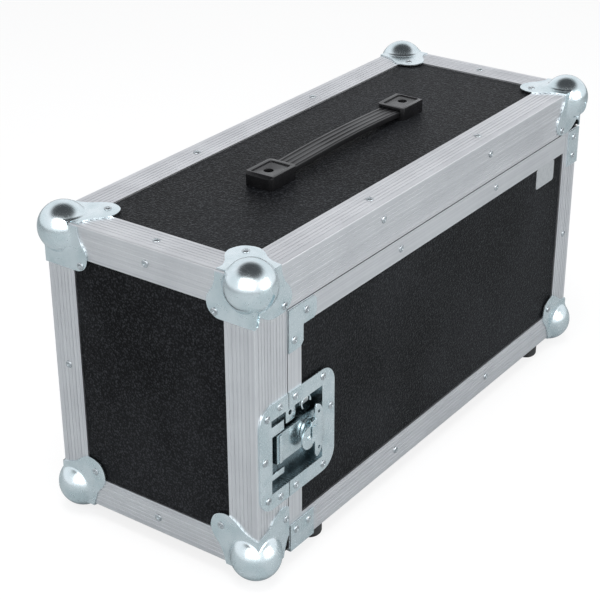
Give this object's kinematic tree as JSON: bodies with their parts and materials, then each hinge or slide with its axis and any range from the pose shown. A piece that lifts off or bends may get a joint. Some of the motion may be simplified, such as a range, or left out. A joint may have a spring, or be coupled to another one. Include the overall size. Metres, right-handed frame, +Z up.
{
  "type": "mixer flight case",
  "caption": "Upright equipment flight case: laminated panels in riveted aluminium edges, ball corners, side-hinged front door with a recessed twist latch, strap handle and rubber feet.",
  "frame": {"origin": "on the floor under the middle of the case", "axes": "+Z up; +X along the case's long side, to the right as one faces the door; the door faces -Y"},
  "size_m": [0.5752, 0.2422, 0.3026],
  "materials": {
    "laminate": "black grained laminate on plywood, semi-matt",
    "aluminium": "satin extruded aluminium with fine grooves",
    "zinc": "bright zinc plated steel",
    "fastener": "plated steel",
    "spring_steel": "spring wire",
    "rubber": "matt",
    "handle_plastic": "moulded, satin",
    "handle_strap": "ribbed, satin",
    "foam": "open-cell foam",
    "label": "bare brushed plate"
  },
  "bodies": {
    "case": {"angle_bottom_back": "aluminium", "angle_bottom_left": "aluminium", "angle_bottom_right": "aluminium", "angle_left_back": "aluminium", "angle_left_front": "aluminium", "angle_right_back": "aluminium", "angle_top_back": "aluminium", "angle_top_front": "aluminium", "angle_top_left": "aluminium", "angle_top_right": "aluminium", "ball_front_left_bottom": "zinc", "ball_front_left_top": "zinc", "ball_front_right_top": "zinc", "balls_back": "zinc", "closing_profile_bottom": "aluminium", "closing_profile_right": "aluminium", "feet_back": "rubber", "foam_back": "foam", "foam_bottom": "foam", "foam_ends": "foam", "foam_top": "foam", "foot_screws_back": "fastener", "front_rim_left": "laminate", "front_rim_top": "laminate", "handle_caps": "handle_plastic", "handle_screws": "fastener", "handle_strap": "handle_strap", "hinge_body_leaves": "zinc", "hinge_pins": "fastener", "latch_keeper": "zinc", "panel_back": "laminate", "panel_bottom": "laminate", "panel_left": "laminate", "panel_right": "laminate", "panel_top": "laminate", "rivets_body": "fastener", "stop_strips": "aluminium"},
    "door": {"door_panel": "laminate", "door_strip_top": "aluminium", "door_strip_left": "aluminium", "door_angle_bottom": "aluminium", "door_angle_right": "aluminium", "door_rims": "laminate", "door_foam": "foam", "bracket_top_left": "zinc", "bracket_bottom_left": "zinc", "bracket_top_right": "zinc", "ball_front_right_bottom": "zinc", "label_plate": "label", "feet_front": "rubber", "foot_screws_front": "fastener", "rivets_door": "fastener", "hinge_door_leaves": "zinc", "latch_pan": "zinc", "latch_spring": "spring_steel"},
    "latch_rotor": {"latch_rotor": "zinc", "latch_wing_pins": "fastener"},
    "latch_hook": {"latch_hook": "zinc"},
    "latch_wing_left": {"latch_wing_left": "zinc"},
    "latch_wing_right": {"latch_wing_right": "zinc"}
  },
  "joints": [
    {"name": "door_swing", "type": "hinge", "parent": "case", "child": "door", "pos_m": [0.2792, -0.0795, 0.132], "axis": [0, 0, 1], "range_deg": [0, 110]},
    {"name": "latch_twist", "type": "hinge", "parent": "door", "child": "latch_rotor", "pos_m": [-0.202, -0.1095, 0.122], "axis": [0, -1, 0], "range_deg": [0, 180]},
    {"name": "latch_hook_slide", "type": "slide", "parent": "door", "child": "latch_hook", "axis": [-1, 0, 0], "range_m": [0, 0.01]},
    {"name": "latch_wing_left_fold", "type": "hinge", "parent": "latch_rotor", "child": "latch_wing_left", "pos_m": [-0.2039, -0.1133, 0.122], "axis": [0, 0, 1], "range_deg": [0, 90], "stiffness_Nm_per_rad": 0.004},
    {"name": "latch_wing_right_fold", "type": "hinge", "parent": "latch_rotor", "child": "latch_wing_right", "pos_m": [-0.2001, -0.1133, 0.122], "axis": [0, 0, -1], "range_deg": [0, 90], "stiffness_Nm_per_rad": 0.004}
  ],
  "couplings": [
    {"joint": "latch_hook_slide", "follows": "latch_twist", "m_per_rad": 0.00318}
  ]
}
